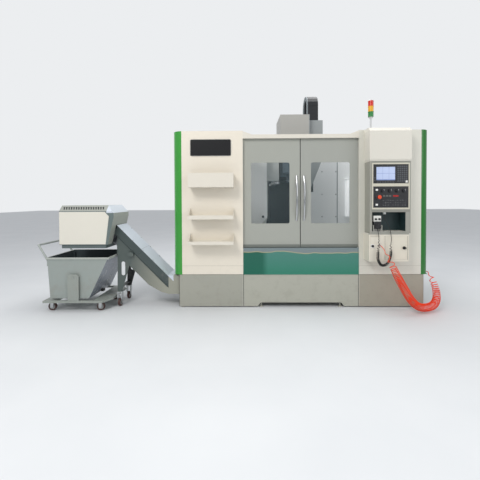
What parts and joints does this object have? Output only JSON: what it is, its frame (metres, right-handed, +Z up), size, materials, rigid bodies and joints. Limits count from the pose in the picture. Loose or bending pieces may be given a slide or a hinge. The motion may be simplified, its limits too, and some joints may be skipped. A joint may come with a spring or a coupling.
{
  "type": "cnc machining center",
  "caption": "Vertical machining center with sliding doors, cross-slide table, tool changer, control console, chip conveyor and tipping chip cart.",
  "frame": {"origin": "on the floor, in the middle of the enclosure's width, level with the spindle axis in depth", "axes": "+X to the right as seen from the front, +Y to the back, +Z up"},
  "size_m": [5.0403, 2.7848, 3.001],
  "materials": {
    "black_paint": "black coat",
    "black_plastic": "black moulded plastic",
    "cart_grey": "grey-green paint",
    "casting": "painted cast iron, light grey",
    "conveyor_grey": "grey paint",
    "cord_black": "black rubber sheath",
    "cream": "cream powder coat, fine texture",
    "dark_steel": "dark folded steel",
    "door_grey": "warm grey powder coat",
    "glass": "clear laminated glass",
    "green": "green gloss paint",
    "hose": "orange-red polyurethane",
    "inner": "pale grey-blue powder coat",
    "lens": "coloured lenses on a satin pole",
    "motor": "black motor paint",
    "plinth_grey": "mid grey powder coat",
    "polished": "mirror-polished stainless steel",
    "red": "red plastic",
    "steel": "ground steel",
    "wheel": "brown-red polyurethane tread",
    "white": "white plastic"
  },
  "bodies": {
    "machine": {"bed": "casting", "levelling_feet": "steel", "base_rails": "steel", "axis_motors": "motor", "column": "casting", "magazine_frame": "casting", "plinth": "plinth_grey", "left_column": "cream", "right_column": "cream", "corner_trims": "green", "door_lintel": "cream", "sill_panel": "polished", "side_panels": "inner", "tool_shelves": "cream", "name_plate": "black_paint", "signal_tower": "lens", "control_housing": "cream", "display_unit": "black_plastic", "operator_panel": "black_plastic", "hand_pendant": "black_plastic", "pendant_lead": "cord_black", "air_hose": "hose", "electrical_cabinet": "inner", "chip_conveyor": "conveyor_grey", "discharge_head": "conveyor_grey", "conveyor_belt": "steel"},
    "saddle": {"saddle": "casting"},
    "table": {"table": "steel"},
    "y_screw": {"y_screw": "steel"},
    "x_screw": {"x_screw": "steel"},
    "z_screw": {"z_screw": "steel"},
    "way_cover_left_1": {"way_cover_left_1": "steel"},
    "way_cover_left_2": {"way_cover_left_2": "steel"},
    "way_cover_right_1": {"way_cover_right_1": "steel"},
    "way_cover_right_2": {"way_cover_right_2": "steel"},
    "z_cover_mid": {"z_cover_mid": "dark_steel"},
    "head": {"spindle_head": "casting", "head_cover": "plinth_grey", "cable_chain": "black_plastic"},
    "spindle": {"spindle": "steel"},
    "magazine_disc": {"magazine_disc": "motor"},
    "change_arm": {"change_arm": "steel"},
    "left_door": {"left_door": "door_grey", "left_window": "glass"},
    "right_door": {"right_door": "door_grey", "right_window": "glass"},
    "emergency_stop": {"emergency_stop": "red"},
    "start_button": {"start_button": "white"},
    "stop_button": {"stop_button": "white"},
    "pendant_dial": {"pendant_dial": "white"},
    "lower_door": {"lower_door": "cream"},
    "electrical_door": {"electrical_door": "inner"},
    "cart": {"cart_frame": "cart_grey"},
    "cart_tub": {"cart_tub": "cart_grey"},
    "cart_wheel_front_left": {"cart_wheel_front_left": "wheel"},
    "cart_wheel_front_right": {"cart_wheel_front_right": "wheel"},
    "cart_wheel_back_left": {"cart_wheel_back_left": "wheel"},
    "cart_wheel_back_right": {"cart_wheel_back_right": "wheel"},
    "conveyor_wheel_front": {"conveyor_wheel_front": "wheel"},
    "conveyor_wheel_rear": {"conveyor_wheel_rear": "wheel"}
  },
  "joints": [
    {"name": "y_axis", "type": "slide", "parent": "machine", "child": "saddle", "axis": [0, 1, 0], "range_m": [-0.3, 0.3]},
    {"name": "x_axis", "type": "slide", "parent": "saddle", "child": "table", "axis": [1, 0, 0], "range_m": [-0.55, 0.55]},
    {"name": "z_axis", "type": "slide", "parent": "machine", "child": "head", "axis": [0, 0, 1], "range_m": [-0.6, 0]},
    {"name": "cover_left_1", "type": "slide", "parent": "saddle", "child": "way_cover_left_1", "axis": [1, 0, 0], "range_m": [-0.1867, 0.1867]},
    {"name": "cover_left_2", "type": "slide", "parent": "saddle", "child": "way_cover_left_2", "axis": [1, 0, 0], "range_m": [-0.3733, 0.3733]},
    {"name": "cover_right_1", "type": "slide", "parent": "saddle", "child": "way_cover_right_1", "axis": [1, 0, 0], "range_m": [-0.1867, 0.1867]},
    {"name": "cover_right_2", "type": "slide", "parent": "saddle", "child": "way_cover_right_2", "axis": [1, 0, 0], "range_m": [-0.3733, 0.3733]},
    {"name": "z_cover_slide", "type": "slide", "parent": "machine", "child": "z_cover_mid", "axis": [0, 0, 1], "range_m": [-0.305, 0.002]},
    {"name": "y_screw_turn", "type": "hinge", "parent": "machine", "child": "y_screw", "pos_m": [0.035, 0, 0.525], "axis": [0, 1, 0], "range_deg": [-6757, 6757]},
    {"name": "x_screw_turn", "type": "hinge", "parent": "saddle", "child": "x_screw", "pos_m": [0.035, 0, 0.75], "axis": [1, 0, 0], "range_deg": [-12387, 12387]},
    {"name": "z_screw_turn", "type": "hinge", "parent": "machine", "child": "z_screw", "pos_m": [0.035, 0.75, 1.5], "axis": [0, 0, 1], "range_deg": [-13513, 90]},
    {"name": "spindle_turn", "type": "hinge", "parent": "head", "child": "spindle", "pos_m": [0.035, 0, 1.65], "axis": [0, 0, 1], "continuous": true},
    {"name": "magazine_turn", "type": "hinge", "parent": "machine", "child": "magazine_disc", "pos_m": [-0.5, 0, 1.9], "axis": [1, 0, 0], "continuous": true},
    {"name": "arm_swing", "type": "hinge", "parent": "machine", "child": "change_arm", "pos_m": [-0.255, 0, 1.61], "axis": [0, 0, 1], "range_deg": [0, 180]},
    {"name": "left_door_slide", "type": "slide", "parent": "machine", "child": "left_door", "axis": [-1, 0, 0], "range_m": [0, 0.64]},
    {"name": "right_door_slide", "type": "slide", "parent": "machine", "child": "right_door", "axis": [1, 0, 0], "range_m": [0, 0.64]},
    {"name": "lower_door_swing", "type": "hinge", "parent": "machine", "child": "lower_door", "pos_m": [0.991, -1.064, 0.783], "axis": [0, 0, 1], "range_deg": [-20, 0]},
    {"name": "emergency_stop_press", "type": "slide", "parent": "machine", "child": "emergency_stop", "axis": [0, 1, 0], "range_m": [0, 0.005]},
    {"name": "start_press", "type": "slide", "parent": "machine", "child": "start_button", "axis": [0, 1, 0], "range_m": [0, 0.004], "stiffness_N_per_m": 400},
    {"name": "stop_press", "type": "slide", "parent": "machine", "child": "stop_button", "axis": [0, 1, 0], "range_m": [0, 0.004], "stiffness_N_per_m": 400},
    {"name": "dial_turn", "type": "hinge", "parent": "machine", "child": "pendant_dial", "pos_m": [0.902, -1.03, 1.044], "axis": [0, 1, 0], "continuous": true},
    {"name": "electrical_door_swing", "type": "hinge", "parent": "machine", "child": "electrical_door", "pos_m": [-0.572, 1.502, 1.35], "axis": [0, 0, 1], "range_deg": [0, 110]},
    {"name": "cart_roll", "type": "slide", "parent": "machine", "child": "cart", "axis": [-1, 0, 0], "range_m": [0, 1.6]},
    {"name": "tub_tip", "type": "hinge", "parent": "cart", "child": "cart_tub", "pos_m": [-2.832, -0.7, 0.43], "axis": [0, 1, 0], "range_deg": [0, 56]},
    {"name": "cart_wheel_front_left_turn", "type": "hinge", "parent": "cart", "child": "cart_wheel_front_left", "pos_m": [-3.13, -1, 0.05], "axis": [0, 1, 0], "range_deg": [-1840, 1840]},
    {"name": "cart_wheel_back_left_turn", "type": "hinge", "parent": "cart", "child": "cart_wheel_back_left", "pos_m": [-3.13, -0.56, 0.05], "axis": [0, 1, 0], "range_deg": [-1840, 1840]},
    {"name": "cart_wheel_front_right_turn", "type": "hinge", "parent": "cart", "child": "cart_wheel_front_right", "pos_m": [-2.52, -1, 0.05], "axis": [0, 1, 0], "range_deg": [-1840, 1840]},
    {"name": "cart_wheel_back_right_turn", "type": "hinge", "parent": "cart", "child": "cart_wheel_back_right", "pos_m": [-2.52, -0.56, 0.05], "axis": [0, 1, 0], "range_deg": [-1840, 1840]},
    {"name": "conveyor_wheel_front_turn", "type": "hinge", "parent": "machine", "child": "conveyor_wheel_front", "pos_m": [-2.34161, -0.834, 0.05], "axis": [1, 0, 0], "continuous": true},
    {"name": "conveyor_wheel_rear_turn", "type": "hinge", "parent": "machine", "child": "conveyor_wheel_rear", "pos_m": [-2.34161, -0.516, 0.05], "axis": [1, 0, 0], "continuous": true}
  ],
  "couplings": [
    {"joint": "cover_left_1", "follows": "x_axis", "ratio": 0.33333},
    {"joint": "cover_left_2", "follows": "x_axis", "ratio": 0.66667},
    {"joint": "cover_right_1", "follows": "x_axis", "ratio": 0.33333},
    {"joint": "cover_right_2", "follows": "x_axis", "ratio": 0.66667},
    {"joint": "z_cover_slide", "follows": "z_axis", "ratio": 0.5},
    {"joint": "y_screw_turn", "follows": "y_axis", "rad_per_m": 392.7},
    {"joint": "x_screw_turn", "follows": "x_axis", "rad_per_m": 392.7},
    {"joint": "z_screw_turn", "follows": "z_axis", "rad_per_m": 392.7},
    {"joint": "tub_tip", "follows": "cart_roll", "rad_per_m": 0.6},
    {"joint": "cart_wheel_front_left_turn", "follows": "cart_roll", "rad_per_m": -20},
    {"joint": "cart_wheel_back_left_turn", "follows": "cart_roll", "rad_per_m": -20},
    {"joint": "cart_wheel_front_right_turn", "follows": "cart_roll", "rad_per_m": -20},
    {"joint": "cart_wheel_back_right_turn", "follows": "cart_roll", "rad_per_m": -20}
  ]
}
